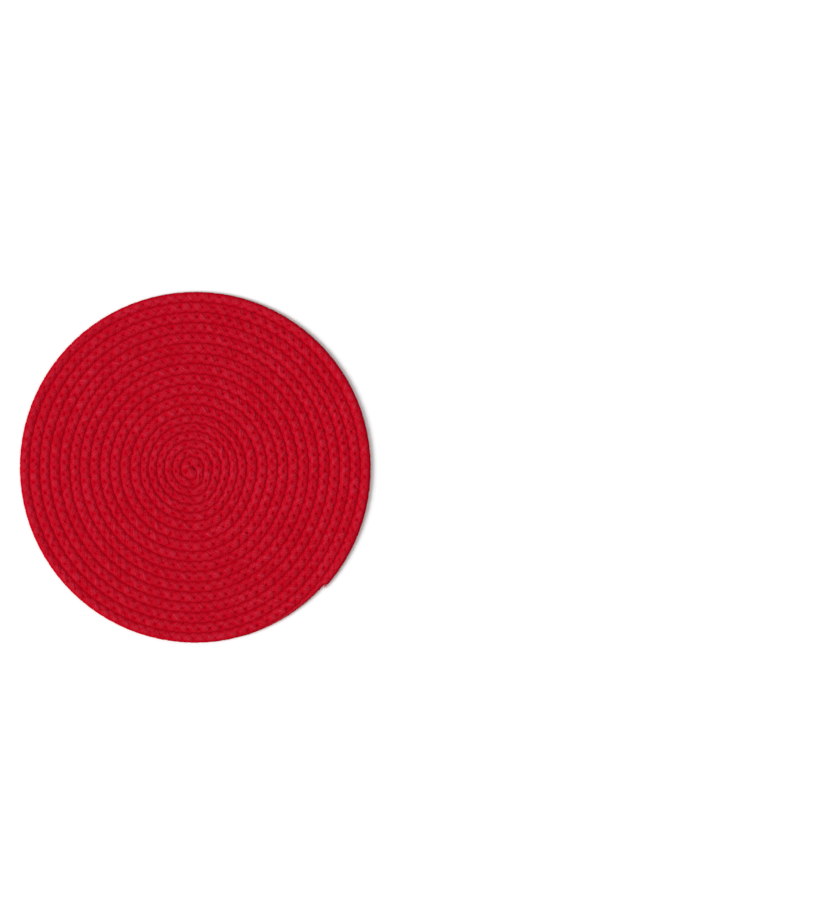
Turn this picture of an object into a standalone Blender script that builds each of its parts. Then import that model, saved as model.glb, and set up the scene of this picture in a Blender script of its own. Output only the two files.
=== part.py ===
"""A round placemat: one braided cotton rope, wound flat from its middle and sewn turn to turn.

The sewn coil is one closed solid. A spiral groove between the turns shows on both faces, with a
round crest between grooves on the upper face and a flat land between them underneath. Each ring
of the groove is a circle that steps out by one rope width in a short jog, and the rope's end is
tucked in where the outermost ring makes that step.

Units are metres and +Z is up. The origin lies under the middle of the outline, on the surface
that the mat lies on. Turns are counted clockwise, seen from above, from the +X side.
"""

import math

import bmesh
import bpy
from mathutils import Vector

# The mat
MAT_RADIUS = 0.381 / 2
THICKNESS = 0.006
UPPER_GROOVE_DEPTH = 0.0017
UNDER_GROOVE_DEPTH = 0.0012

# The coil
COIL_EYE = Vector((-0.0041, -0.0009))  # where the rope starts
CURL_RADIUS = 0.0036  # how far the groove opens in the curled start
CURL_TURNS = 0.5
TIGHT_RINGS = 6  # the first rings, where the rope is drawn narrower
TIGHT_WIDTH = 0.0090
WIDE_RINGS = 12
JOG_START = 15 / 360  # the jog, in turns from the start of a ring
JOG_LENGTH = 70 / 360

# The rope's end, in turns clockwise from the +X side
TAIL_CUT = 42 / 360
TAIL_REACH = 40 / 360  # the outline is a plain circle again this far from the cut
TAIL_TIP = 74 / 360  # where the groove has run out to the rim
TAIL_PROUD = 0.0016  # how far the end stands out of the circle
TAIL_TUCK = 0.0014  # how far the ring beside it stays inside the circle

# The rounded rim
RIM_INSET = 0.0007
RIM_UPPER_HEIGHT = 0.0044
RIM_UNDER_HEIGHT = 0.0014

# The rope's section: places across the rope, and how much of the groove's depth is regained there
CREST = ((0.20, 0.80), (0.50, 1.00), (0.80, 0.80))
LAND = ((0.27, 1.00), (0.73, 1.00))
ROUND_FROM = 0.0054  # a narrower stretch of rope, as at either end, stands up less

PER_TURN = 44  # sections of the mesh in a turn

COTTON_RED = (190, 20, 40)  # sRGB, 0 to 255

WIDE_WIDTH = (MAT_RADIUS - CURL_RADIUS - TIGHT_WIDTH * TIGHT_RINGS) / WIDE_RINGS
RINGS = TIGHT_RINGS + WIDE_RINGS
EYE = -round(CURL_TURNS * PER_TURN)  # the groove's first section
FIRST = EYE - PER_TURN  # the rope's first section, where it starts from nothing
LAST = round((RINGS - 1 + TAIL_TIP) * PER_TURN)


def ring_radius(ring):
    """The groove's radius where a ring starts."""
    tight = min(ring, TIGHT_RINGS)
    wide = max(0, ring - TIGHT_RINGS)
    return CURL_RADIUS + TIGHT_WIDTH * tight + WIDE_WIDTH * wide


def eased(share):
    """A smooth step from 0 to 1."""
    share = min(1.0, max(0.0, share))
    return share * share * (3 - 2 * share)


def groove_radius(turn):
    """The groove's radius about its ring's own centre."""
    if turn < 0:
        return CURL_RADIUS * max(0.0, 1 + turn / CURL_TURNS)
    ring = math.floor(turn)
    step = ring_radius(ring + 1) - ring_radius(ring)
    return ring_radius(ring) + step * eased((turn - ring - JOG_START) / JOG_LENGTH)


def ring_centre(turn):
    """The rings' centre, which moves from the coil's eye to the middle of the mat."""
    wound = max(0.0, turn + CURL_TURNS) / (RINGS + CURL_TURNS)
    return COIL_EYE * (1 - math.sqrt(wound))


def direction(turn):
    angle = math.tau * turn
    return Vector((math.cos(angle), -math.sin(angle)))


def groove_point(turn):
    """A point of the groove, in plan."""
    return ring_centre(turn) + groove_radius(turn) * direction(turn)


def rim_point(turn, inset=0.0):
    """A point of the outline, in plan: a circle that the rope's cut end breaks."""
    past_cut = (turn - TAIL_CUT + 0.5) % 1.0 - 0.5
    near_cut = max(0.0, 1 - abs(past_cut) / TAIL_REACH)
    shift = TAIL_PROUD if past_cut < 0 else -TAIL_TUCK
    return (MAT_RADIUS + shift * near_cut - inset) * direction(turn)


class Coil:
    """The mesh of the coil, made section by section along the rope."""

    def __init__(self):
        self.mesh = bmesh.new()
        self.points = {}

    def point(self, place, section, plan, height):
        """A vertex, made once for each named place of a section."""
        key = (place, section)
        if key not in self.points:
            self.points[key] = self.mesh.verts.new((plan.x, plan.y, height))
        return self.points[key]

    def rim(self, section):
        """The three points of the rounded edge: above, outermost and below."""
        turn = section / PER_TURN
        place = (section - LAST) % PER_TURN
        inner = rim_point(turn, RIM_INSET)
        return [
            self.point("rim above", place, inner, RIM_UPPER_HEIGHT),
            self.point("rim edge", place, rim_point(turn), THICKNESS / 2),
            self.point("rim below", place, inner, RIM_UNDER_HEIGHT),
        ]

    def groove(self, section):
        """The groove's points on the upper face and on the underside."""
        if section == LAST:
            above, _, below = self.rim(section)
            return above, below
        section = max(section, EYE)
        plan = groove_point(section / PER_TURN)
        return (
            self.point("groove above", section, plan, THICKNESS - UPPER_GROOVE_DEPTH),
            self.point("groove below", section, plan, UNDER_GROOVE_DEPTH),
        )

    def across(self, section, inner, outer, fullness):
        """The points between two grooves: the crest on top and the land underneath."""
        crest = []
        for number, (share, regained) in enumerate(CREST):
            height = THICKNESS - UPPER_GROOVE_DEPTH * (1 - regained * fullness)
            plan = inner.lerp(outer, share)
            crest.append(self.point(f"crest {number}", section, plan, height))
        land = []
        for number, (share, regained) in enumerate(LAND):
            height = UNDER_GROOVE_DEPTH * (1 - regained * fullness)
            plan = inner.lerp(outer, share)
            land.append(self.point(f"land {number}", section, plan, height))
        return crest, land

    def section(self, section):
        """The rope's upper and lower points at a section, both from the inside out."""
        inner_above, inner_below = self.groove(section)
        at_rim = section + PER_TURN > LAST
        if at_rim:
            outer_above, edge, outer_below = self.rim(section)
        else:
            outer_above, outer_below = self.groove(section + PER_TURN)
            edge = None
        if inner_above is outer_above:  # the rope has run out to nothing
            crest, land = [inner_above] * len(CREST), [inner_below] * len(LAND)
        else:
            turn = section / PER_TURN
            inner = groove_point(max(turn, -CURL_TURNS))
            outer = rim_point(turn, RIM_INSET) if at_rim else groove_point(turn + 1)
            fullness = min(1.0, (outer - inner).length / ROUND_FROM)
            crest, land = self.across(section, inner, outer, fullness)
        above = [inner_above, *crest, outer_above]
        below = [inner_below, *land, outer_below]
        return above, below, edge

    def band(self, one, other):
        """Faces between two rows of points. Points that the rows share narrow a face, or drop it."""
        for index in range(len(one) - 1):
            corners = [one[index], one[index + 1], other[index + 1], other[index]]
            distinct = list(dict.fromkeys(corners))
            if len(distinct) > 2:
                self.mesh.faces.new(distinct)

    def wind(self):
        """Makes the faces of every stretch of the rope, from the curled start to the tail."""
        for number in range(FIRST, LAST):
            above, below, edge = self.section(number)
            next_above, next_below, next_edge = self.section(number + 1)
            if edge is None and next_edge is not None:
                edge = self.rim(number)[1]
            self.band(above, next_above)
            self.band(next_below, below)
            if edge is not None:
                self.band([above[-1], edge, below[-1]], [next_above[-1], next_edge, next_below[-1]])


def linear(colour):
    """An sRGB colour of 0 to 255 as linear light, with alpha."""
    shares = [value / 255 for value in colour]
    light = [s / 12.92 if s <= 0.04045 else ((s + 0.055) / 1.055) ** 2.4 for s in shares]
    return (*light, 1.0)


def cotton():
    """Matte dyed cotton rope."""
    material = bpy.data.materials.new("red_cotton_rope")
    material.use_nodes = True
    shader = material.node_tree.nodes["Principled BSDF"]
    shader.inputs["Base Color"].default_value = linear(COTTON_RED)
    shader.inputs["Roughness"].default_value = 0.92
    shader.inputs["Metallic"].default_value = 0.0
    return material


def coiled_mat():
    """The mat as one object."""
    coil = Coil()
    coil.wind()
    bmesh.ops.recalc_face_normals(coil.mesh, faces=coil.mesh.faces)
    mesh = bpy.data.meshes.new("coiled_rope_mat")
    coil.mesh.to_mesh(mesh)
    coil.mesh.free()
    mesh.shade_smooth()
    mesh.set_sharp_from_angle(angle=math.radians(55))
    mesh.materials.append(cotton())
    mat = bpy.data.objects.new("coiled_rope_mat", mesh)
    bpy.context.scene.collection.objects.link(mat)
    return mat


def main():
    for old in list(bpy.data.objects):
        bpy.data.objects.remove(old)
    coiled_mat()


main()
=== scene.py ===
"""The looks of a round placemat: one braided cotton rope, wound flat and sewn turn to turn.

The rope is a flattened tube of two families of strands that cross over and under each other. Each
crossing is a small patch of mesh, a few yarns wide, and the patches follow the spiral groove that
the solid mat has. Units are metres and +Z is up. Turns are counted clockwise, seen from above, from
the +X side, and the rope is followed from its curled start in the middle to its cut end.
"""

import math

import bpy
import numpy as np
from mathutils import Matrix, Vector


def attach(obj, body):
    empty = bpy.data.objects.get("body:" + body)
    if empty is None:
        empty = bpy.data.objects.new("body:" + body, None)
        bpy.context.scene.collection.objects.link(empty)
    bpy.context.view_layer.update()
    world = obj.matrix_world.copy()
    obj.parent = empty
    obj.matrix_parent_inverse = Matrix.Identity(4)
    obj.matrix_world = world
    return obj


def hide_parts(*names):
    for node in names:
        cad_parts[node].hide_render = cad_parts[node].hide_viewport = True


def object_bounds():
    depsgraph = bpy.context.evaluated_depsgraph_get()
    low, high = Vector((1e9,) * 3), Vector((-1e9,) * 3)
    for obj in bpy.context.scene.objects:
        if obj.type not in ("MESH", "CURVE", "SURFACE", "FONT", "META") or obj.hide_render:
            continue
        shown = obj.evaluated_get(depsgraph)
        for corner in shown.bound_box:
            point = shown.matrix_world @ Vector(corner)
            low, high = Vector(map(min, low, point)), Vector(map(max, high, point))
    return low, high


bl_info = {
    "name": "Coiled Rope Placemat",
    "version": (1, 0, 0),
    "blender": (4, 5, 0),
    "location": "3D View > Sidebar > Placemat",
    "description": "Braids, sews and lights a round placemat of coiled cotton rope",
    "category": "Object",
}

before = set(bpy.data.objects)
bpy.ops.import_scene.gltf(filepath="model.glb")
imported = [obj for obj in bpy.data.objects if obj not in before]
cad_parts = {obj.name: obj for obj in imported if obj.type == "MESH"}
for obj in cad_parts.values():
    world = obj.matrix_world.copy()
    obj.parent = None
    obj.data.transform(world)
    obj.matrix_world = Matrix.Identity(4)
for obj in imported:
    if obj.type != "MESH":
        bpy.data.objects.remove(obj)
SOLID_LOW, SOLID_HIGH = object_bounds()

MAT_NODE = "coiled_rope_mat"
BODY = "root"
SEAMS = ("seam_thread_above", "seam_thread_below")
FRAY = "frayed_yarn_ends"

# The coil, as the solid mat has it. Places along the rope are in turns
THICKNESS = SOLID_HIGH.z - SOLID_LOW.z
MAT_RADIUS = (SOLID_HIGH.x - SOLID_LOW.x) / 2
COIL_EYE = np.array([-0.0041, -0.0009])
CURL_RADIUS = 0.0036
CURL_TURNS = 0.5
TIGHT_RINGS = 6
TIGHT_WIDTH = 0.0090
WIDE_RINGS = 12
JOG_START = 15 / 360  # where in each turn the groove begins to step out to the next ring
JOG_LENGTH = 70 / 360
TAIL_CUT = 42 / 360  # where the rope is cut
TAIL_REACH = 40 / 360  # how far to each side of the cut the outline is off its circle
TAIL_TIP = 74 / 360  # where the tucked end has narrowed to almost nothing
TAIL_PROUD = 0.0016  # how far the rope stands out before the cut
TAIL_TUCK = 0.0014  # and how far the outline lies in after it
ROUND_FROM = 0.0054  # a rope of this width or more has its full section
WIDE_WIDTH = (MAT_RADIUS - CURL_RADIUS - TIGHT_WIDTH * TIGHT_RINGS) / WIDE_RINGS
RINGS = TIGHT_RINGS + WIDE_RINGS

# What the fine rope adds to it
COURSE_SAMPLES = 24000  # points at which the rope's course is worked out
ROPE_START = -1.44
ROPE_END = RINGS - 1 + TAIL_TIP
CUT_SLOPE = 0.0016 / (math.tau * MAT_RADIUS)  # half the length of the slanted cut
GROOVE_WANDER = 0.00022  # how far the sewing strays from the true spiral
WANDER_LENGTH = 0.024
WANDER_SEED = 5
KNOT_SPREAD = 0.55  # deviation of the noise's knots, which keeps it mostly within 1
PRESS = 0.0007  # how far the rope is pressed into the turn beside it
LEAST_PRESS = 0.5  # share of that where the rope is narrow
LEAST_HALF = 0.0003  # half of the least width
TINY_LENGTH = 1e-6  # keeps a divisor from being nothing
MID_HEIGHT = THICKNESS / 2
NARROW_RISE = 0.0013  # height over the middle where the rope runs out to nothing
NARROW_FALL = 0.0018
GIRTH_SHARE = 0.74  # length round the section, as a share of the way round its box
ROUNDNESS = 1.65  # exponent of the section's upper curve
FLATNESS = 3.2  # and of its lower one
SPREAD = 0.127  # how much wider than even the braid's cells lie on top
NARROW_RELIEF = 0.35  # share of the braid's relief that is left where the rope runs out
SIDE_CALM = 0.75  # share of it that is pressed flat at the rope's sides
SIDE_FROM = 0.5  # where a side begins, from 0 at the middle of the face to 1 at its edge
SIDE_EASE = 0.35  # and how far from there it is fully pressed
RIM_CALM = 0.6  # share of the relief that is left where the rope is the mat's rim
RIM_SHADE = 1.6  # how many times as much painted shade the rim's side gets as a groove's side
EYE_HOLE = 0.0001  # the rope's first bend leaves this radius open
EYE_CLOSED = 0.0016  # how much further the rope's start is pressed together at the eye
EYE_UNTIL = 0.2  # where that has faded out
EYE_EASE = 0.5  # and over how many turns it fades
CUT_SUNK = 0.4  # height of the middle of the rope's cut face, as a share of its edge's
CUT_DEPTH = 0.0045  # how deep in the braid the middle of the rope's cut face counts as lying, which paints shade on it

# The sewing
SEAM_SAMPLES = 30000
SEAM_START = 0.3
SEAM_STOPS_SHORT = 0.05  # how many turns before the groove runs out to the rim
SEAM_SEEDS = (29, 31)  # over and under the mat
STITCH_STEPS = 3  # points along each stitch
SLACK_SPREAD = 0.12  # deviation of a stitch's ends from their place, in stitch lengths
SLACK_MOST = 0.3
REACH_SPREAD = 0.1  # deviation of its reach, as a share of it
REACH_MOST = 0.25
THREAD_SIDES = 5
THREAD_PLIES = 3
NEARLY_UP = np.array([0.11, 0.07, 1.0])  # a direction that no thread runs in

# The loose yarn ends at the cut. The pairs are the least and the most
FRAY_SEED = 41
FRAY_ENDS = 90
FRAY_POINTS = 8
FRAY_SIDES = 6
FRAY_PLIES = 2
FRAY_INSET = (0.1, 0.75)  # how far in from the rim, as a share of the fray's spread
FRAY_SHARE = (0.4, 1.0)  # length, as a share of the longest
FRAY_ROOTED = (0.3, 0.5)  # how far back from the cut it starts, as a share of its length
FRAY_LEAN = 0.35  # deviation of its first heading, in radians
FRAY_BEND = 1.1  # and of how much it turns from there
FRAY_LOW = 0.0012  # least height of an end
FRAY_RISE = 0.0030  # and how much higher it may be
FRAY_ARCH = 0.0006
ARCH_ANGLE = 2.6  # radians of the arch's sine
FRAY_TAPER = 0.45  # thickness of a tip, as a share of the root's

# The patch of mesh at a crossing
YARNS = 3
YARN_STEPS = 4  # valley, flank, ridge, flank
ACROSS = YARNS * YARN_STEPS
ALONG = 6
STRIDE = ACROSS // ALONG
KEY_STRIDE = 1 << 24  # more than the lattice points along the whole rope

# The unevenness of hand-braided strands
BRAID_SEED = 11
DRAW_MOST = 2  # deviations at which a random draw is held
HOLE_SHARE = (0.2, 1.2)  # least and most depth of a pinhole, as a share of the usual depth
DIP_SHARPNESS = 1.6  # how closely a strand's dip keeps to the crossing's ends
CROWN_PLACE = 0.25  # share of the way round at which the middle of the top is
CROWN_REACH = 0.04
YARN_SINK = 1.2  # how much lower yarns lie for being uneven, as a multiple of the unevenness
YARN_STRAY = 0.6  # and how far they stray to the side
OUTER_BULGE = 1.8  # how many times as far a strand's outermost flanks bulge
TWIST_SEED = 23
TWIST_LENGTH = 0.07

# The finishes. Depths are in millimetres, and a slope is the share of painted shade that each adds
MILLIMETRES = 1000
LAY_SHIFT = 0.37  # how much further along its fibres each crossing or thread starts
# the painted shade: depths from which the braid's hollows, the rope's sides, the rim's side and the
# pinholes grow darker
HOLLOW_FROM = 0.2
GROOVE_FROM = 0.25
RIM_FROM, RIM_SLOPE = 2.2, 0.35
PIT_FROM, PIT_SLOPE = 1.6, 0.5
SLOW_SCALE = 38.0  # patches in a metre
FINE_SCALE = 1100.0
THREAD_SCALE = 1400.0
FUZZ_SCALE = (4.0, 2.6, 1.0)  # patches along a crossing, and across a yarn
FIBRE_SCALE = (9.0, 24.0, 1.0)
LIGHT_FLOOR = 1.25  # a yarn is deep red where its light adds up to no more than this
PLY_SLANT = 0.9  # how far the plies run on from one side of a yarn to the other
PLY_RELIEF = (0.6, 0.00025)  # strength of the bump, and its height in metres
THREAD_SLANT = 0.8
THREAD_RELIEF = (0.5, 0.0001)
THREAD_SHADOW = 0.7  # a thread's darker colour, as a share of its own: painted shade between the plies, and uneven colour

# The stage
FLOOR_SIZE = 16.0
LAMP_HEIGHT = 2.0
SENSOR_WIDTH = 36.0  # millimetres


def eased(share):
    """A smooth step from 0 to 1."""
    share = np.clip(share, 0.0, 1.0)
    return share * share * (3 - 2 * share)


def wavering(places, spacing, seed):
    """Smooth noise along a line, about 0 and mostly within 1."""
    knots = np.random.default_rng(seed).normal(0.0, KNOT_SPREAD, int(places.max() / spacing) + 4)
    where = np.clip(places, 0, None) / spacing
    index = where.astype(int)
    return knots[index] + (knots[index + 1] - knots[index]) * eased(where - index)


def ring_radius(ring):
    """The groove's radius where a ring starts."""
    tight = np.minimum(ring, TIGHT_RINGS)
    wide = np.maximum(0, ring - TIGHT_RINGS)
    return CURL_RADIUS + TIGHT_WIDTH * tight + WIDE_WIDTH * wide


def groove_radius(turn):
    """The groove's radius about its ring's own centre."""
    ring = np.floor(turn)
    step = ring_radius(ring + 1) - ring_radius(ring)
    wound = ring_radius(ring) + step * eased((turn - ring - JOG_START) / JOG_LENGTH)
    curl = np.maximum(EYE_HOLE, CURL_RADIUS * (1 + turn / CURL_TURNS))
    return np.where(turn < 0, curl, wound)


def direction(turn):
    """The way out from the middle, in plan."""
    angle = math.tau * turn
    return np.stack([np.cos(angle), -np.sin(angle)], axis=-1)


def ring_centre(turn):
    """The rings' centre, which moves from the coil's eye to the middle of the mat."""
    wound = np.clip((turn + CURL_TURNS) / (RINGS + CURL_TURNS), 0, None)
    return COIL_EYE * (1 - np.sqrt(wound))[..., None]


def groove_point(turn):
    """A point of the groove, in plan, with the small wander of hand-guided sewing."""
    radius = groove_radius(turn)
    sewn = np.clip(turn, 0, None) ** 2 * math.pi * WIDE_WIDTH  # about the length sewn so far
    waver = GROOVE_WANDER * wavering(sewn, WANDER_LENGTH, WANDER_SEED) * np.clip(turn, 0, 1)
    return ring_centre(turn) + (radius + waver)[..., None] * direction(turn)


def rim_radius(turn):
    """The outline: a circle that the rope's cut end breaks."""
    past_cut = (turn - TAIL_CUT + 0.5) % 1.0 - 0.5
    near_cut = np.clip(1 - np.abs(past_cut) / TAIL_REACH, 0, None)
    after = eased((past_cut + CUT_SLOPE) / (2 * CUT_SLOPE))
    shift = TAIL_PROUD * (1 - after) - TAIL_TUCK * after
    return MAT_RADIUS + shift * near_cut


def rope_sides(turn):
    """The rope's inner and outer edge in plan, and whether the outer one is the mat's rim."""
    inner = groove_point(turn)
    at_rim = turn + 1 >= ROPE_END
    rim = rim_radius(turn)[:, None] * direction(turn)
    outer = np.where(at_rim[:, None], rim, groove_point(np.minimum(turn + 1, ROPE_END)))
    return inner, outer, at_rim


class Rope:
    """The rope's course: lengths along its middle line, and the section at each."""

    def __init__(self, braid_period):
        self.turns = np.linspace(ROPE_START, ROPE_END, COURSE_SAMPLES)
        inner, outer, _ = rope_sides(self.turns)
        middle = (inner + outer) / 2
        steps = np.linalg.norm(np.diff(middle, axis=0), axis=1)
        self.lengths = np.concatenate([[0.0], np.cumsum(steps)])
        self.length = float(self.lengths[-1])
        self.rows = round(2 * self.length / braid_period)
        self.half_period = self.length / self.rows
        self.perimeter = 2 * (WIDE_WIDTH + THICKNESS) * GIRTH_SHARE

    def place(self, length, around):
        """Points of the smooth rope, their outward normals, the share of the braid's relief that
        is kept there, and how far down the rope's side they lie, counted deeper on the rim's side
        so that it gets more painted shade.

        around goes from 0 at the inner side over the top to 0.5 at the outer side, and back
        underneath to 1.
        """
        turn = np.interp(length, self.lengths, self.turns)
        inner, outer, at_rim = rope_sides(turn)
        width = np.linalg.norm(outer - inner, axis=1)
        outward = (outer - inner) / np.maximum(width, TINY_LENGTH)[:, None]
        pressed = PRESS * np.clip(width / ROUND_FROM, LEAST_PRESS, 1)
        closed = EYE_CLOSED * np.clip((EYE_UNTIL - turn) / EYE_EASE, 0, 1)
        inner = inner - outward * (pressed + closed)[:, None]
        outer = outer + outward * np.where(at_rim, 0, pressed)[:, None]
        half = np.maximum(np.linalg.norm(outer - inner, axis=1) / 2, LEAST_HALF)
        full = np.clip(2 * half / ROUND_FROM, 0, 1)
        around = around % 1.0
        upper = around < 0.5
        share = np.where(upper, 4 * around - 1, 3 - 4 * around)
        side = share * (1 + SPREAD * (1 - share * share))
        power = np.where(upper, ROUNDNESS, FLATNESS)
        rise = np.clip(1 - np.abs(side) ** power, 0, None) ** (1 / power)
        rise = np.where(upper, rise, -rise)
        top = NARROW_RISE + (THICKNESS - MID_HEIGHT - NARROW_RISE) * full
        under = NARROW_FALL + (MID_HEIGHT - NARROW_FALL) * full
        tall = np.where(upper, top, under)
        slope_out = np.sign(side) * np.abs(side) ** (power - 1) / half
        slope_up = np.sign(rise) * np.abs(rise) ** (power - 1) / tall
        plan = (inner + outer) / 2 + outward * (half * side)[:, None]
        points = np.column_stack([plan, MID_HEIGHT + rise * tall])
        normals = np.column_stack([outward * slope_out[:, None], slope_up])
        normals /= np.linalg.norm(normals, axis=1)[:, None]
        rim_side = at_rim & (share > 0)
        calm = 1 - SIDE_CALM * eased((np.abs(share) - SIDE_FROM) / SIDE_EASE)
        calm *= np.where(rim_side, RIM_CALM, 1)
        # how far down the side a point lies, kept for the painted shade; the rim's side counts
        # deeper to get more
        sunk = (1 - np.abs(rise)) * tall * np.where(rim_side, RIM_SHADE, 1)
        kept = (NARROW_RELIEF + (1 - NARROW_RELIEF) * full) * calm
        return points, normals, kept, sunk


def patch_faces():
    """The faces of one crossing, as (across, along) steps, with finer steps along its edges."""
    quads, triangles = [], []
    for y in range(0, ACROSS, STRIDE):
        for x in range(1, ACROSS - 1):
            quads.append([(x, y), (x + 1, y), (x + 1, y + STRIDE), (x, y + STRIDE)])
        for edge, inside in ((0, 1), (ACROSS, ACROSS - 1)):
            fan = [(edge, y), (edge, y + 1), (edge, y + STRIDE), (inside, y + STRIDE), (inside, y)]
            parts = [[fan[0], fan[1], fan[4]], [fan[1], fan[3], fan[4]], [fan[1], fan[2], fan[3]]]
            if edge == 0:
                parts = [part[::-1] for part in parts]
            triangles += parts
    return np.array(quads), np.array(triangles)


class Braid:
    """The braided surface of a stretch of rope, from one row of crossings to another.

    The two families of strands are counted round and along the rope: strand edges of one family
    lie at whole numbers of p and of the other at whole numbers of q. Length along the rope grows
    with q - p and the place round it with p + q, and p and q both grow by 2 in going once round.
    """

    def __init__(self, rope, settings):
        self.rope = rope
        self.settings = settings
        chance = np.random.default_rng(BRAID_SEED)
        shape = (rope.rows + 3, 2)
        self.hole_shift = chance.normal(0, 1, (*shape, 2)).clip(-DRAW_MOST, DRAW_MOST)
        self.hole_share = chance.uniform(*HOLE_SHARE, shape)
        self.yarn_height = chance.normal(0, 1, (*shape, YARNS)).clip(-DRAW_MOST, DRAW_MOST)
        self.yarn_shift = chance.normal(0, 1, (*shape, YARNS)).clip(-DRAW_MOST, DRAW_MOST)

    def crossings(self, first, last):
        """p and q of each crossing's first corner, for two crossings in each row."""
        rows = np.repeat(np.arange(first, last), 2)
        around = rows % 2 + 2 * np.tile([0, 1], last - first)
        return (around - rows) // 2, (around + rows) // 2

    def faces(self, first, last):
        """Lattice corners of all faces: p steps, q steps, the two steps in the patch, and which
        crossing each face is part of."""
        p_cell, q_cell = self.crossings(first, last)
        even = (q_cell - p_cell) % 2 == 0
        number = np.arange(len(p_cell))
        found = []
        for pattern in patch_faces():
            x, y = pattern[..., 0], pattern[..., 1]
            for chosen, p_step, q_step, turned in ((even, y, x, 1), (~even, x, y, -1)):
                p = p_cell[chosen][:, None, None] * ACROSS + p_step
                q = q_cell[chosen][:, None, None] * ACROSS + q_step
                local = np.broadcast_to(pattern, (*p.shape, 2))
                size = pattern.shape[1]
                found.append(
                    (
                        p[..., ::turned].reshape(-1, size),
                        q[..., ::turned].reshape(-1, size),
                        local[..., ::turned, :].reshape(-1, size, 2),
                        np.repeat(number[chosen], p.shape[1]),
                    )
                )
        return found

    def corner(self, table, p, q):
        """A table's value at a corner where four strands meet."""
        return table[np.clip(q - p, 0, len(table) - 1), (p + q) % 4 // 2]

    def yarns(self, p_steps, q_steps):
        """How deep each point lies in the braid without its pinholes, and the steps in p and in q
        by which the yarns bulge and stray to the side."""
        settings = self.settings
        p_cell, q_cell = p_steps // ACROSS, q_steps // ACROSS
        p_in, q_in = p_steps % ACROSS, q_steps % ACROSS
        even = (q_cell - p_cell) % 2 == 0
        inside = (p_in > 0) & (q_in > 0)
        across = np.where(inside, np.where(even, q_in, p_in), np.maximum(p_in, q_in))
        along = np.where(inside, np.where(even, p_in, q_in), 0) / ACROSS
        yarn = np.minimum(across // YARN_STEPS, YARNS - 1)
        step = across % YARN_STEPS
        row, side = np.clip(q_cell - p_cell, 0, None), (p_cell + q_cell) % 4 // 2
        groove, flank = settings.yarn_groove, settings.yarn_flank
        depth = np.choose(step, [groove, flank, 0.0, flank])
        depth += settings.crossing_dip * (1 - np.sin(math.pi * along)) ** DIP_SHARPNESS
        depth += settings.strand_edge * (np.abs(yarn - (YARNS - 1) / 2) > 0.5)
        depth += settings.strand_gap * np.clip(2 - np.minimum(across, ACROSS - across), 0, 1)
        crown = ((p_steps + q_steps) / ACROSS / 4 % 1.0 - CROWN_PLACE) / CROWN_REACH
        depth += settings.crown_dip * np.exp(-crown * crown)
        uneven = settings.unevenness
        height = self.yarn_height[row, side, yarn] + YARN_SINK
        depth += np.where(inside, uneven * height, 0)

        # a yarn's flanks bulge over the grooves beside it, and the outermost ones the most
        bulge = np.choose(step, [0.0, -1.0, 0.0, 1.0])
        bulge = bulge * np.where((across == 1) | (across == ACROSS - 1), OUTER_BULGE, 1.0)
        stray = YARN_STRAY * uneven * self.yarn_shift[row, side, yarn]
        bulge = bulge * settings.yarn_bulge + stray
        bulge = np.where(inside, bulge / self.strand_width(), 0)
        return depth, np.where(even, 0, bulge), np.where(even, bulge, 0)

    def pinholes(self, p_steps, q_steps, length, around):
        """How far each point lies in a pinhole, from 0 to about 1, and which way the pinholes
        about it have wandered. length and around are the point's place on the rope."""
        settings, rope = self.settings, self.rope
        p_cell, q_cell = p_steps // ACROSS, q_steps // ACROSS
        p_share, q_share = p_steps % ACROSS / ACROSS, q_steps % ACROSS / ACROSS
        shift = np.zeros((len(p_steps), 2))
        hole = np.zeros(len(p_steps))
        for p_next in (0, 1):
            for q_next in (0, 1):
                p_weight = p_share if p_next else 1 - p_share
                weight = p_weight * (q_share if q_next else 1 - q_share)
                p_hole, q_hole = p_cell + p_next, q_cell + q_next
                shift += weight[:, None] * self.corner(self.hole_shift, p_hole, q_hole)
                away_along = length - (q_hole - p_hole) * rope.half_period
                away_round = (around - (p_hole + q_hole) / 4) * rope.perimeter
                near = (away_along / settings.hole_length) ** 2
                near = near + (away_round / settings.hole_width) ** 2
                pit = self.corner(self.hole_share, p_hole, q_hole) * np.exp(-near)
                hole = np.maximum(hole, pit)
        return hole, shift

    def shape(self, p_steps, q_steps):
        """Points of the braided surface, how deep each lies in the braid, and how far down the
        rope's side it is."""
        settings, rope = self.settings, self.rope
        depth, p_bulge, q_bulge = self.yarns(p_steps, q_steps)
        p = p_steps / ACROSS + p_bulge
        q = q_steps / ACROSS + q_bulge
        length, around = (q - p) * rope.half_period, (p + q) / 4
        hole, shift = self.pinholes(p_steps, q_steps, length, around)
        depth += settings.hole_depth * hole
        length = length + settings.hole_wander * shift[:, 0]
        around = around + settings.hole_wander / rope.perimeter * shift[:, 1]
        drift = wavering(length, TWIST_LENGTH, TWIST_SEED)
        twist = settings.twist + settings.twist_wander * drift
        points, normals, kept, sunk = rope.place(length, around + twist)
        depth = np.clip(depth, 0, None) * kept
        return points - normals * depth[:, None], depth, sunk

    def strand_width(self):
        """The width of a strand, square to its own direction."""
        half, quarter = self.rope.half_period, self.rope.perimeter / 4
        return 2 * half * quarter / math.hypot(half, quarter)

    def end_ring(self, row):
        """The zigzag ring of lattice points between a row of crossings and the row before it."""
        p_cell, q_cell = self.crossings(row, row + 1)
        ring = []
        for p, q in zip(p_cell * ACROSS, q_cell * ACROSS):
            ring += [(p + step, q) for step in range(ACROSS)]
            ring += [(p + ACROSS, q + step) for step in range(ACROSS)]
        return np.array(ring)


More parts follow.
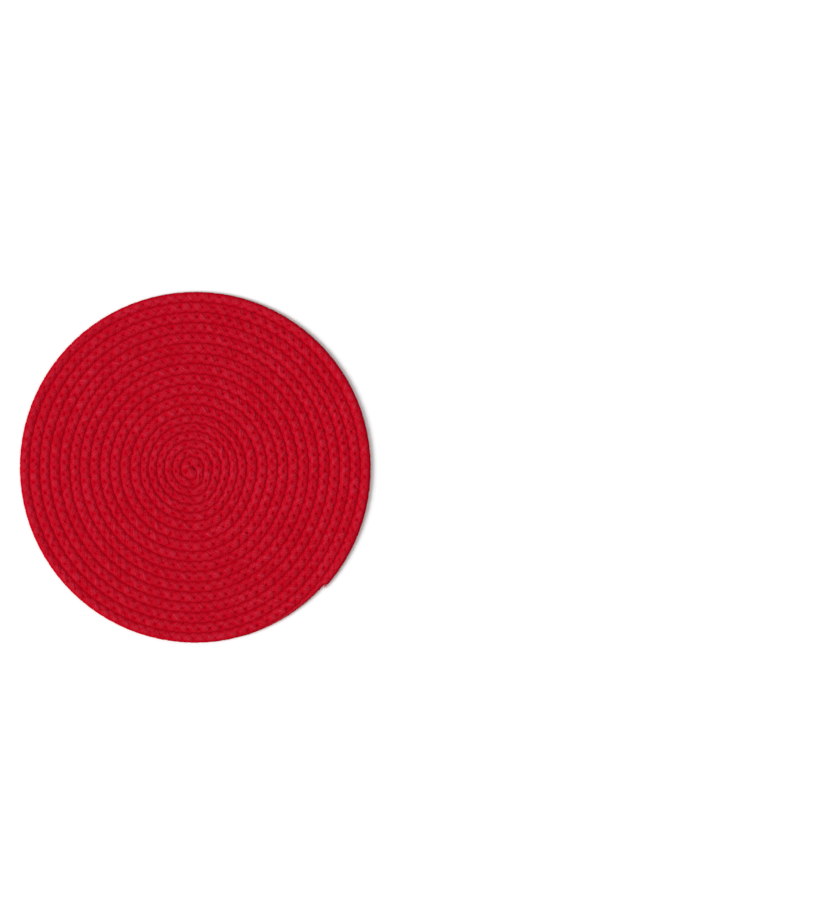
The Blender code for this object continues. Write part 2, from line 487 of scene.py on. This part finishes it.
def lattice_key(p_steps, q_steps):
    """One number for each lattice point, the same for points that meet after going once round."""
    lap = (p_steps + q_steps) // (4 * ACROSS)
    return (p_steps - 2 * ACROSS * lap) * KEY_STRIDE + (q_steps - 2 * ACROSS * lap)


def as_piece(name, mesh, material):
    """Puts a finished mesh in the scene."""
    mesh.materials.append(material)
    piece = bpy.data.objects.new(name, mesh)
    bpy.context.scene.collection.objects.link(piece)
    return piece


def braided_stretch(name, braid, first, last, material):
    """A closed mesh of the rope from one row of crossings to another."""
    groups = braid.faces(first, last)
    all_p = np.concatenate([group[0].ravel() for group in groups])
    all_q = np.concatenate([group[1].ravel() for group in groups])
    keys, chosen, corner_vertex = np.unique(
        lattice_key(all_p, all_q), return_index=True, return_inverse=True
    )
    points, depth, sunk = braid.shape(all_p[chosen], all_q[chosen])

    sizes = [np.full(len(group[0]), group[0].shape[1]) for group in groups]
    local = np.concatenate([group[2].reshape(-1, 2) for group in groups])
    cell = np.concatenate([np.repeat(group[3], group[0].shape[1]) for group in groups])

    # a fan of triangles about a sunken middle closes each end, and its middle counts as deep for
    # painted shade on the cut face
    caps, cap_lay = [], []
    for row, turned in ((first, -1), (last, 1)):
        ring = braid.end_ring(row)
        ring_vertices = np.searchsorted(keys, lattice_key(ring[:, 0], ring[:, 1]))
        middle = points[ring_vertices].mean(axis=0) * (1, 1, CUT_SUNK)
        points = np.vstack([points, middle])
        depth = np.append(depth, CUT_DEPTH)
        sunk = np.append(sunk, sunk.max())
        centre = np.full(len(ring), len(points) - 1)
        fan = np.column_stack([ring_vertices, np.roll(ring_vertices, -1), centre])
        caps.append(fan[:, ::turned])
        step = np.arange(len(ring)) / YARN_STEPS
        fan_lay = np.zeros((len(ring), 3, 2))
        fan_lay[:, 2, 0] = 1.0
        fan_lay[:, :, 1] = step[:, None]
        fan_lay[:, 1, 1] += 1 / YARN_STEPS
        cap_lay.append(fan_lay[:, ::turned].reshape(-1, 2))
    caps = np.concatenate(caps)

    loops = np.concatenate([corner_vertex, caps.ravel()])
    sizes = np.concatenate([*sizes, np.full(len(caps), 3)])
    starts = np.concatenate([[0], np.cumsum(sizes)[:-1]])
    mesh = bpy.data.meshes.new(name)
    mesh.vertices.add(len(points))
    mesh.vertices.foreach_set("co", points.astype(np.float32).ravel())
    mesh.loops.add(len(loops))
    mesh.loops.foreach_set("vertex_index", loops.astype(np.int32))
    mesh.polygons.add(len(sizes))
    mesh.polygons.foreach_set("loop_start", starts.astype(np.int32))
    smooth = np.ones(len(sizes), bool)
    smooth[-len(caps):] = False
    mesh.update(calc_edges=True)
    mesh.polygons.foreach_set("use_smooth", smooth)

    # in the lay a crossing is 1 long, and each of its yarns has a whole number of its own
    lay = mesh.uv_layers.new(name="yarn_lay")
    place = np.zeros((len(loops), 2), np.float32)
    place[: len(local), 0] = local[:, 1] / ACROSS + cell * LAY_SHIFT % 1.0
    place[: len(local), 1] = local[:, 0] / YARN_STEPS + cell * YARNS
    place[len(local):] = np.concatenate(cap_lay)
    lay.data.foreach_set("uv", place.ravel())
    # depth and sunk are kept at each point for the material's painted shade
    for kind, value in (("depth", depth), ("sunk", sunk)):
        stored = mesh.attributes.new(kind, "FLOAT", "POINT")
        stored.data.foreach_set("value", (value * MILLIMETRES).astype(np.float32))
    mesh.validate()
    return as_piece(name, mesh, material)


def tubes(name, lines, radii, sides, material):
    """Thin round tubes with closed ends, as one mesh. lines holds each tube's points in turn."""
    count, rings = lines.shape[:2]
    tangents = np.gradient(lines, axis=1)
    tangents /= np.linalg.norm(tangents, axis=2, keepdims=True)
    aside = np.cross(NEARLY_UP, tangents)
    aside /= np.linalg.norm(aside, axis=2, keepdims=True)
    above = np.cross(tangents, aside)
    angles = math.tau * np.arange(sides) / sides
    spokes = np.cos(angles)[:, None] * aside[:, :, None, :]
    spokes = spokes + np.sin(angles)[:, None] * above[:, :, None, :]
    points = lines[:, :, None, :] + radii[:, :, None, None] * spokes

    first = np.arange(count)[:, None, None] * rings * sides
    ring = first + np.arange(rings - 1)[:, None] * sides
    here, there = np.arange(sides), (np.arange(sides) + 1) % sides
    corners = [ring + here, ring + there, ring + there + sides, ring + here + sides]
    quads = np.stack(corners, axis=-1)
    caps = np.concatenate([first[:, 0] + here[::-1], first[:, 0] + (rings - 1) * sides + here])
    mesh = bpy.data.meshes.new(name)
    faces = quads.reshape(-1, 4).tolist() + caps.tolist()
    mesh.from_pydata(points.reshape(-1, 3).tolist(), [], faces)
    mesh.shade_smooth()

    steps = np.linalg.norm(np.diff(lines, axis=1), axis=2)
    lengths = np.concatenate([np.zeros((count, 1)), np.cumsum(steps, axis=1)], axis=1)
    run = lengths[:, :, None] / (math.tau * radii[:, :, None].max())
    shifts = np.arange(count)[:, None, None] * LAY_SHIFT
    run = np.broadcast_to(run, (count, rings, sides)) + shifts
    turned = np.broadcast_to(np.arange(sides) / sides, run.shape)
    place = np.stack([run, turned], axis=-1).reshape(-1, 2)
    values = place[np.concatenate([quads.ravel(), caps.ravel()])]
    around = values[: quads.size, 1].reshape(-1, sides, 4)
    around[:, -1, 1:3] += 1.0
    lay = mesh.uv_layers.new(name="yarn_lay")
    lay.data.foreach_set("uv", values.astype(np.float32).ravel())
    return as_piece(name, mesh, material)


def surface_height(width, inside, under):
    """How far over or under the middle the rope's surface is, this far in from a groove."""
    power, reach = (FLATNESS, MID_HEIGHT) if under else (ROUNDNESS, THICKNESS - MID_HEIGHT)
    share = (width / 2 - inside) / (width / 2 + PRESS)
    return reach * np.clip(1 - np.abs(share) ** power, 0, None) ** (1 / power)


def seam_line(settings, under):
    """The zigzag that a sewing thread makes over the groove, on the upper face or the underside."""
    turns = np.linspace(SEAM_START, ROPE_END - SEAM_STOPS_SHORT, SEAM_SAMPLES)
    steps = np.linalg.norm(np.diff(groove_point(turns), axis=0), axis=1)
    lengths = np.concatenate([[0.0], np.cumsum(steps)])
    stitches = int(lengths[-1] / settings.stitch_length)
    number = np.arange(STITCH_STEPS * stitches + 1)
    chance = np.random.default_rng(SEAM_SEEDS[under])
    slack = chance.normal(0, SLACK_SPREAD, stitches + 2).clip(-SLACK_MOST, SLACK_MOST)
    corner = number // STITCH_STEPS
    share = number % STITCH_STEPS / STITCH_STEPS
    along = corner + share + slack[corner] * (1 - share) + slack[corner + 1] * share
    turn = np.interp(along * settings.stitch_length, lengths, turns)
    uneven = chance.normal(0, REACH_SPREAD, stitches + 2).clip(-REACH_MOST, REACH_MOST)
    reach = settings.stitch_reach * (1 + uneven)
    side = (1 - 2 * (corner % 2)) * (1 - 2 * share)
    off = side * (reach[corner] * (1 - share) + reach[corner + 1] * share)
    middle = groove_point(turn)
    width = np.linalg.norm(groove_point(turn - 1) - middle, axis=1)
    over_groove = surface_height(width, 0.0, under) + settings.stitch_lift
    at_end = surface_height(width, settings.stitch_reach, under) - settings.stitch_sunk
    raised = np.where(share == 0, at_end, over_groove)
    height = MID_HEIGHT + (-raised if under else raised)
    return np.column_stack([middle + off[:, None] * direction(turn), height])


def frayed_lines(settings):
    """The yarn ends that stand out of the rope's cut end."""
    chance = np.random.default_rng(FRAY_SEED)
    along = np.linspace(0, 1, FRAY_POINTS)
    out, onward = direction(TAIL_CUT), direction(TAIL_CUT + 0.25)
    lines = np.zeros((FRAY_ENDS, FRAY_POINTS, 3))
    for number in range(FRAY_ENDS):
        inset = settings.fray_spread * chance.uniform(*FRAY_INSET)
        length = settings.fray_length * chance.uniform(*FRAY_SHARE)
        lean, bend = chance.normal(0, FRAY_LEAN), chance.normal(0, FRAY_BEND)
        heading = lean + bend * along
        step = length / (FRAY_POINTS - 1)
        forward = np.cumsum(np.cos(heading) * step) - length * chance.uniform(*FRAY_ROOTED)
        sideways = np.cumsum(np.sin(heading) * step)
        foot = (MAT_RADIUS + TAIL_PROUD / 2 - inset) * out
        plan = foot + forward[:, None] * onward + sideways[:, None] * out
        root, tip = FRAY_LOW + FRAY_RISE * chance.uniform(0, 1, 2)
        height = root + (tip - root) * along + FRAY_ARCH * np.sin(along * ARCH_ANGLE)
        lines[number] = np.column_stack([plan, height])
    thinning = np.linspace(1.0, FRAY_TAPER, FRAY_POINTS)
    radii = settings.fray_thickness / 2 * thinning * np.ones((FRAY_ENDS, 1))
    return lines, radii


# --------------------------------------------------------------------------------------- finishes


class Nodes:
    """A short way to write a material's nodes."""

    def __init__(self, material):
        material.use_nodes = True
        self.tree = material.node_tree

    def feed(self, socket, value):
        """Gives a socket a value, or links another node's output to it."""
        if isinstance(value, bpy.types.NodeSocket):
            self.tree.links.new(value, socket)
        else:
            socket.default_value = value

    def add(self, kind, options=None, **inputs):
        """A node with its options set and its inputs fed, each by name or by _ and its number."""
        made = self.tree.nodes.new(kind)
        for name, value in (options or {}).items():
            setattr(made, name, value)
        for name, value in inputs.items():
            socket = made.inputs[int(name[1:])] if name[1:].isdigit() else made.inputs[name]
            self.feed(socket, value)
        return made

    def dress(self, finish):
        """Feeds the shader's inputs, each by its name."""
        shader = self.tree.nodes["Principled BSDF"]
        for name, value in finish.items():
            self.feed(shader.inputs[name], value)

    def math(self, operation, first, second=0.0):
        """The outcome of an operation on one value or two."""
        return self.add("ShaderNodeMath", {"operation": operation}, _0=first, _1=second).outputs[0]

    def clipped(self, value):
        """A value held between 0 and 1."""
        return self.math("MINIMUM", self.math("MAXIMUM", value, 0.0), 1.0)

    def past(self, value, start, slope):
        """How far a value is past a start, times a slope."""
        return self.math("MULTIPLY", self.math("SUBTRACT", value, start), slope)

    def weighed(self, *parts):
        """Values added up, each times its weight."""
        total = 0.0
        for value, weight in parts:
            total = self.math("ADD", total, self.math("MULTIPLY", value, weight))
        return total

    def mixed(self, share, first, second):
        """A mix of two colours, of which the first may be another node's."""
        if not isinstance(first, bpy.types.NodeSocket):
            first = (*first, 1.0)
        second = (*second, 1.0)
        made = self.add("ShaderNodeMix", {"data_type": "RGBA"}, _0=share, _6=first, _7=second)
        return made.outputs[2]

    def stored(self, name):
        """A value that the mesh holds at each point."""
        return self.add("ShaderNodeAttribute", {"attribute_name": name}).outputs["Fac"]

    def yarn_lay(self):
        """The lay of the yarns: the pair, the way along a strand, and the yarns across it."""
        lay = self.add("ShaderNodeUVMap", {"uv_map": "yarn_lay"}).outputs["UV"]
        apart = self.add("ShaderNodeSeparateXYZ", Vector=lay)
        return lay, apart.outputs["X"], apart.outputs["Y"]

    def body(self):
        """A point's place in the mat."""
        return self.add("ShaderNodeTexCoord").outputs["Object"]

    def noise(self, place, scale, detail, roughness=0.5):
        """Patches of light and dark, from 0 to 1."""
        made = self.add(
            "ShaderNodeTexNoise", Vector=place, Scale=scale, Detail=detail, Roughness=roughness
        )
        return made.outputs["Fac"]

    def streaks(self, lay, scale, detail):
        """Patches that are drawn out along the yarns."""
        drawn = self.add("ShaderNodeMapping", Vector=lay, Scale=scale).outputs["Vector"]
        return self.noise(drawn, 1.0, detail)

    def raised(self, height, strength, distance):
        """Normals of a surface that is raised by a height."""
        made = self.add("ShaderNodeBump", Strength=strength, Distance=distance, Height=height)
        return made.outputs["Normal"]


def cotton_material(settings):
    """Matte dyed cotton: each yarn a little lighter or darker, with painted shade in the hollows,
    the grooves and on the rim's side.
    """
    material = bpy.data.materials.new("dyed_cotton_braid")
    nodes = Nodes(material)
    lay, along, across = nodes.yarn_lay()
    body = nodes.body()
    yarn = nodes.math("FLOOR", across)
    lot = nodes.add("ShaderNodeTexWhiteNoise", {"noise_dimensions": "1D"}, W=yarn).outputs["Value"]
    slow = nodes.noise(body, SLOW_SCALE, 3.0)
    fine = nodes.noise(body, FINE_SCALE, 4.0, 0.65)
    fuzz = nodes.streaks(lay, FUZZ_SCALE, 3.0)
    fibre = nodes.streaks(lay, FIBRE_SCALE, 2.0)

    # painted shade: darker red in the braid's hollows and down the rope's sides into the grooves
    depth, sunk = nodes.stored("depth"), nodes.stored("sunk")
    painted_shade = nodes.math("MAXIMUM", nodes.past(depth, HOLLOW_FROM, settings.hollow_shade), 0.0)
    groove = nodes.math("MAXIMUM", nodes.past(sunk, GROOVE_FROM, settings.groove_shade), 0.0)
    painted_shade = nodes.clipped(nodes.math("ADD", painted_shade, groove))
    # the deepest painted shade, on the rim's side and in deep pinholes
    rim = nodes.past(sunk, RIM_FROM, RIM_SLOPE)
    pit = nodes.past(depth, PIT_FROM, PIT_SLOPE)
    deepest_shade = nodes.clipped(nodes.math("MAXIMUM", rim, pit))
    light = nodes.weighed((lot, 0.3), (slow, 0.5), (fuzz, 1.3), (fine, 0.5), (fibre, 0.7))
    light = nodes.clipped(nodes.math("SUBTRACT", light, LIGHT_FLOOR))
    colour = nodes.mixed(light, settings.deep_red, settings.bright_red)
    colour = nodes.mixed(painted_shade, colour, settings.hollow_shade_red)
    colour = nodes.mixed(deepest_shade, colour, settings.deepest_shade_red)

    slant = nodes.weighed((across, PLY_SLANT), (lot, 1.0), (along, settings.ply_turns))
    ply = nodes.math("SINE", nodes.math("MULTIPLY", slant, math.pi))
    ply = nodes.math("ABSOLUTE", ply)
    height = nodes.weighed((ply, 0.5), (fuzz, 1.2), (fibre, 1.0), (fine, 1.0))
    nodes.dress(
        {
            "Base Color": colour,
            "Normal": nodes.raised(height, *PLY_RELIEF),
            "Roughness": 0.9,
            "Specular IOR Level": 0.01,
            "Sheen Weight": 0.15,
            "Sheen Roughness": 0.4,
            "Sheen Tint": (1.0, 0.2, 0.28, 1.0),
        }
    )
    return material


def twisted_material(name, colour, plies):
    """A thin twisted thread: fine slanting ridges with painted shade between them, and a slightly
    uneven colour.
    """
    material = bpy.data.materials.new(name)
    nodes = Nodes(material)
    _, along, turned = nodes.yarn_lay()
    fine = nodes.noise(nodes.body(), THREAD_SCALE, 3.0)
    slant = nodes.weighed((along, THREAD_SLANT), (turned, 1.0))
    ridge = nodes.math("SINE", nodes.math("MULTIPLY", slant, plies * math.tau))
    # the colour is partly painted shade, darker in the valleys between the plies, and partly uneven
    # at random
    share = nodes.weighed((ridge, 0.2), (fine, 1.0))
    darker = tuple(THREAD_SHADOW * value for value in colour)
    height = nodes.weighed((ridge, 0.6), (fine, 1.0))
    nodes.dress(
        {
            "Base Color": nodes.mixed(share, darker, colour),
            "Normal": nodes.raised(height, *THREAD_RELIEF),
            "Roughness": 0.75,
            "Specular IOR Level": 0.05,
        }
    )
    return material


def stage_material():
    """Matte white paper."""
    material = bpy.data.materials.new("white_paper")
    white = (0.92, 0.92, 0.92, 1.0)
    Nodes(material).dress({"Base Color": white, "Roughness": 0.9, "Specular IOR Level": 0.1})
    return material


# --------------------------------------------------------------------------------------- settings


def a_length(name, description, default):
    """A length that a user may change."""
    return bpy.props.FloatProperty(
        name=name, description=description, default=default, min=0.0, unit="LENGTH", precision=5
    )


def a_number(name, description, default, **options):
    """A plain number that a user may change."""
    return bpy.props.FloatProperty(name=name, description=description, default=default, **options)


def an_angle(name, description, degrees):
    """An angle that a user may change, given in degrees."""
    return bpy.props.FloatProperty(
        name=name, description=description, default=math.radians(degrees), subtype="ANGLE"
    )


def a_colour(name, description, default):
    """A colour that a user may change."""
    return bpy.props.FloatVectorProperty(
        name=name, description=description, default=default, subtype="COLOR", size=3, min=0, max=1
    )


class RopeSettings(bpy.types.PropertyGroup):
    """Sizes and colours of the braided rope."""

    period: a_length("Braid Period", "Length of rope from one pinhole to the next", 0.0119)
    yarn_groove: a_length("Yarn Groove", "Depth of the groove between two yarns", 0.00035)
    yarn_flank: a_length("Yarn Flank", "How far a yarn's flank lies under its ridge", 0.00016)
    yarn_bulge: a_length("Yarn Bulge", "How far a yarn's flank bulges to the side", 0.00014)
    crossing_dip: a_length("Crossing Dip", "How far a strand dips at a crossing", 0.00055)
    strand_edge: a_length("Strand Edge", "How much lower a strand's outer yarns lie", 0.00018)
    strand_gap: a_length("Strand Gap", "How deep the gap beside a strand is", 0.00030)
    crown_dip: a_length("Crown Dip", "How far the rope dips along the middle of its top", 0.00040)
    hole_depth: a_length("Pinhole Depth", "Extra depth where four strands meet", 0.0009)
    hole_length: a_length("Pinhole Length", "Half length of a pinhole along the rope", 0.0011)
    hole_width: a_length("Pinhole Width", "Half width of a pinhole across the rope", 0.0017)
    hole_wander: a_length("Pinhole Wander", "How far a pinhole lies off its place", 0.0004)
    unevenness: a_length("Unevenness", "Difference in height between yarns", 0.00013)
    # painted shade in the braid's hollows and down the rope's sides
    hollow_shade: a_number("Hollow Shade", "How much deeper red the braid's hollows are", 0.9)
    groove_shade: a_number("Groove Shade", "How much deeper red the rope's sides are", 0.6)
    twist: a_number("Twist", "Share of a lap that the braid is turned by", 0.03)
    twist_wander: a_number("Twist Wander", "Share of a lap that the twist varies by", 0.022)
    ply_turns: a_number("Ply Turns", "Turns of a yarn's twist in a crossing", 7.0, min=0.0)
    deep_red: a_colour("Deep Red", "The darker yarns", (0.37, 0.001, 0.007))
    bright_red: a_colour("Bright Red", "The lighter yarns and their fuzz", (0.62, 0.028, 0.065))
    # colours of the painted shade: in the hollows, and deepest in pinholes and on the rim's side
    hollow_shade_red: a_colour("Hollow Red", "The hollows of the braid", (0.45, 0.0, 0.008))
    deepest_shade_red: a_colour("Deepest Red", "Deep pinholes and the rim's side", (0.21, 0.001, 0.014))


class SewingSettings(bpy.types.PropertyGroup):
    """Sizes and colours of the sewing thread and of the rope's frayed end."""

    stitch_length: a_length("Stitch Length", "Length of seam that each stitch crosses", 0.0032)
    stitch_reach: a_length("Stitch Reach", "How far to each side of the groove it is sewn", 0.0010)
    stitch_sunk: a_length("Stitch Sunk", "How deep a stitch is pulled in at its ends", 0.00045)
    stitch_lift: a_length("Stitch Lift", "Its height over the bottom of the groove", 0.00002)
    thread_thickness: a_length("Thread Thickness", "Thickness of the sewing thread", 0.00045)
    fray_thickness: a_length("Fray Thickness", "Thickness of a loose yarn end", 0.00022)
    fray_length: a_length("Fray Length", "Length of the longest loose yarn end", 0.0065)
    fray_spread: a_length("Fray Spread", "Width of rope that the loose ends stand out of", 0.007)
    thread_red: a_colour("Thread Red", "The sewing thread", (0.46, 0.001, 0.011))
    frayed_red: a_colour("Frayed Red", "The loose yarn ends", (0.80, 0.13, 0.17))


class StageSettings(bpy.types.PropertyGroup):
    """The studio: where the camera and the lights stand."""

    picture_height: a_length("Picture Height", "Height of floor that the picture shows", 0.990)
    camera_right: a_length("Camera Right", "How far right of the mat the camera stands", 0.2372)
    camera_up: a_length("Camera Up", "How far up the picture the camera stands", 0.0123)
    lens: a_number("Lens", "Focal length on a 36 mm frame", 100.0, subtype="DISTANCE_CAMERA")
    ambient: a_number("Ambient", "Brightness of the white room", 0.2, min=0.0)
    key_strength: a_number("Key Light", "Strength of the soft light from the left", 3.0, min=0.0)
    key_spread: an_angle("Key Spread", "How wide the key light is", 34)
    key_azimuth: an_angle("Key Azimuth", "Where the key light stands", 192)
    key_elevation: an_angle("Key Elevation", "How high the key light stands", 36)
    top_strength: a_number("Top Light", "Strength of the wide light overhead", 1.2, min=0.0)
    top_spread: an_angle("Top Spread", "How wide the top light is", 100)


# -------------------------------------------------------------------------------------- operators


def belongs(piece):
    """Says that a piece moves with the mat and stands in for it."""
    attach(piece, BODY)
    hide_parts(MAT_NODE)


class SewTurns(bpy.types.Operator):
    """Sews each turn to the next with a zigzag thread, on the upper face and the underside"""

    bl_idname = "placemat.sew_turns"
    bl_label = "Sew the Turns"

    def execute(self, context):
        settings = context.scene.placemat_sewing
        material = twisted_material("sewing_thread", settings.thread_red, THREAD_PLIES)
        for name, under in zip(SEAMS, (False, True)):
            lines = seam_line(settings, under)[None]
            radii = np.full(lines.shape[:2], settings.thread_thickness / 2)
            belongs(tubes(name, lines, radii, THREAD_SIDES, material))
        return {"FINISHED"}


class FrayEnd(bpy.types.Operator):
    """Lets short yarn ends stand out of the rope's cut end"""

    bl_idname = "placemat.fray_end"
    bl_label = "Fray the End"

    def execute(self, context):
        settings = context.scene.placemat_sewing
        material = twisted_material("frayed_yarn", settings.frayed_red, FRAY_PLIES)
        lines, radii = frayed_lines(settings)
        belongs(tubes(FRAY, lines, radii, FRAY_SIDES, material))
        return {"FINISHED"}


class BraidRope(bpy.types.Operator):
    """Braids the coiled rope, in three stretches that follow each other"""

    bl_idname = "placemat.braid_rope"
    bl_label = "Braid the Rope"

    def execute(self, context):
        settings = context.scene.placemat_rope
        rope = Rope(settings.period)
        braid = Braid(rope, settings)
        material = cotton_material(settings)
        names = ("rope_inner_turns", "rope_middle_turns", "rope_outer_turns")
        ends = np.linspace(1, rope.rows, len(names) + 1).astype(int)
        for name, first, last in zip(names, ends[:-1], ends[1:]):
            piece = braided_stretch(name, braid, int(first), int(last), material)
            belongs(piece)
        return {"FINISHED"}


class SetStage(bpy.types.Operator):
    """Lays the white floor and sets the lights and the camera"""

    bl_idname = "placemat.set_stage"
    bl_label = "Set the Stage"

    def execute(self, context):
        settings = context.scene.placemat_stage
        bpy.ops.mesh.primitive_plane_add(size=FLOOR_SIZE, location=(0, 0, 0))
        floor = context.object
        floor.name = "floor"
        floor.data.materials.append(stage_material())

        world = bpy.data.worlds.new("white_room")
        world.use_nodes = True
        glow = world.node_tree.nodes["Background"]
        glow.inputs["Color"].default_value = (1, 1, 1, 1)
        glow.inputs["Strength"].default_value = settings.ambient
        context.scene.world = world

        lights = (
            ("key_light", settings.key_strength, settings.key_spread, settings.key_elevation),
            ("top_light", settings.top_strength, settings.top_spread, math.pi / 2),
        )
        for name, strength, spread, elevation in lights:
            bpy.ops.object.light_add(type="SUN", location=(0, 0, LAMP_HEIGHT))
            light = context.object
            light.name = name
            light.data.energy = strength
            light.data.angle = spread
            turned = settings.key_azimuth + math.pi / 2
            light.rotation_euler = (math.pi / 2 - elevation, 0, turned)

        distance = settings.picture_height * settings.lens / SENSOR_WIDTH
        place = (settings.camera_right, settings.camera_up, distance)
        bpy.ops.object.camera_add(location=place)
        camera = context.object
        camera.name = "camera"
        camera.rotation_euler = (0, 0, 0)
        camera.data.lens = settings.lens
        camera.data.sensor_width = SENSOR_WIDTH
        context.scene.camera = camera
        context.scene.view_settings.view_transform = "Standard"
        return {"FINISHED"}


class PlacematPanel(bpy.types.Panel):
    """The placemat's pieces and its stage"""

    bl_idname = "VIEW3D_PT_placemat"
    bl_label = "Placemat"
    bl_space_type = "VIEW_3D"
    bl_region_type = "UI"
    bl_category = "Placemat"

    def draw(self, context):
        scene = context.scene
        for settings in (scene.placemat_rope, scene.placemat_sewing, scene.placemat_stage):
            for name in type(settings).__annotations__:
                self.layout.prop(settings, name)
        for operator in OPERATORS:
            self.layout.operator(operator.bl_idname)


OPERATORS = (SewTurns, FrayEnd, BraidRope, SetStage)
CLASSES = (RopeSettings, SewingSettings, StageSettings, *OPERATORS, PlacematPanel)


def register():
    for item in CLASSES:
        bpy.utils.register_class(item)
    bpy.types.Scene.placemat_rope = bpy.props.PointerProperty(type=RopeSettings)
    bpy.types.Scene.placemat_sewing = bpy.props.PointerProperty(type=SewingSettings)
    bpy.types.Scene.placemat_stage = bpy.props.PointerProperty(type=StageSettings)


def unregister():
    del bpy.types.Scene.placemat_stage
    del bpy.types.Scene.placemat_sewing
    del bpy.types.Scene.placemat_rope
    for item in reversed(CLASSES):
        bpy.utils.unregister_class(item)


def main():
    """Makes all of the scene."""
    register()
    bpy.ops.object.select_all(action="DESELECT")
    bpy.ops.placemat.sew_turns()
    bpy.ops.placemat.fray_end()
    bpy.ops.placemat.braid_rope()
    bpy.ops.placemat.set_stage()


if __name__ == "__main__":
    main()
